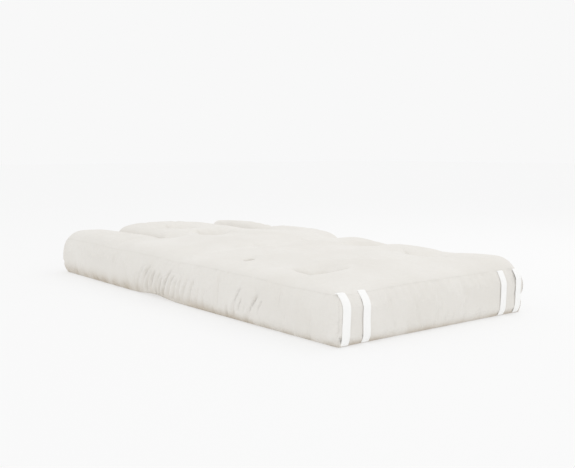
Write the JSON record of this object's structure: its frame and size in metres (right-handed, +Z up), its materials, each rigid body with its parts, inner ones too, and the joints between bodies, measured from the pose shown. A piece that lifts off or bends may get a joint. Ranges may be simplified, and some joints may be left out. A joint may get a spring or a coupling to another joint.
{
  "type": "futon mattress",
  "caption": "Single futon mattress: tufted, crowned cotton block with webbing strap loops on the foot end, folding at two lines into a chair.",
  "frame": {"origin": "on the floor under the middle of the overall length and width", "axes": "+X along the length towards the foot end with the strap loops, +Y towards the left long side, +Z up out of the sleeping face"},
  "size_m": [2, 0.9, 0.21],
  "materials": {
    "cover_cotton": "matte",
    "cotton_felt": "matte",
    "foam": "matte",
    "twine": "matte",
    "tuft_cotton": "matte",
    "strap_webbing": "matte"
  },
  "bodies": {
    "back": {"cover_top_back": "cover_cotton", "cover_bottom_back": "cover_cotton", "border_left_back": "cover_cotton", "border_right_back": "cover_cotton", "fibre_pad_lower_back": "cotton_felt", "foam_core_back": "foam", "fibre_pad_upper_back": "cotton_felt", "tuft_twines_back": "twine", "tuft_pads_top_back": "tuft_cotton", "tuft_pads_bottom_back": "tuft_cotton", "border_head": "cover_cotton"},
    "seat": {"cover_top_seat": "cover_cotton", "cover_bottom_seat": "cover_cotton", "border_left_seat": "cover_cotton", "border_right_seat": "cover_cotton", "fibre_pad_lower_seat": "cotton_felt", "foam_core_seat": "foam", "fibre_pad_upper_seat": "cotton_felt", "tuft_twines_seat": "twine", "tuft_pads_top_seat": "tuft_cotton", "tuft_pads_bottom_seat": "tuft_cotton"},
    "foot": {"cover_top_foot": "cover_cotton", "cover_bottom_foot": "cover_cotton", "border_left_foot": "cover_cotton", "border_right_foot": "cover_cotton", "fibre_pad_lower_foot": "cotton_felt", "foam_core_foot": "foam", "fibre_pad_upper_foot": "cotton_felt", "tuft_twines_foot": "twine", "tuft_pads_top_foot": "tuft_cotton", "tuft_pads_bottom_foot": "tuft_cotton", "border_foot": "cover_cotton", "strap_loop_1": "strap_webbing", "strap_loop_2": "strap_webbing", "strap_loop_3": "strap_webbing", "strap_loop_4": "strap_webbing"}
  },
  "joints": [
    {"name": "back_fold", "type": "hinge", "parent": "seat", "child": "back", "pos_m": [0, 0, 0.211], "axis": [0, 1, 0], "range_deg": [0, 90]},
    {"name": "foot_fold", "type": "hinge", "parent": "seat", "child": "foot", "pos_m": [0.5, 0, -0.001], "axis": [0, 1, 0], "range_deg": [0, 179.5]}
  ]
}
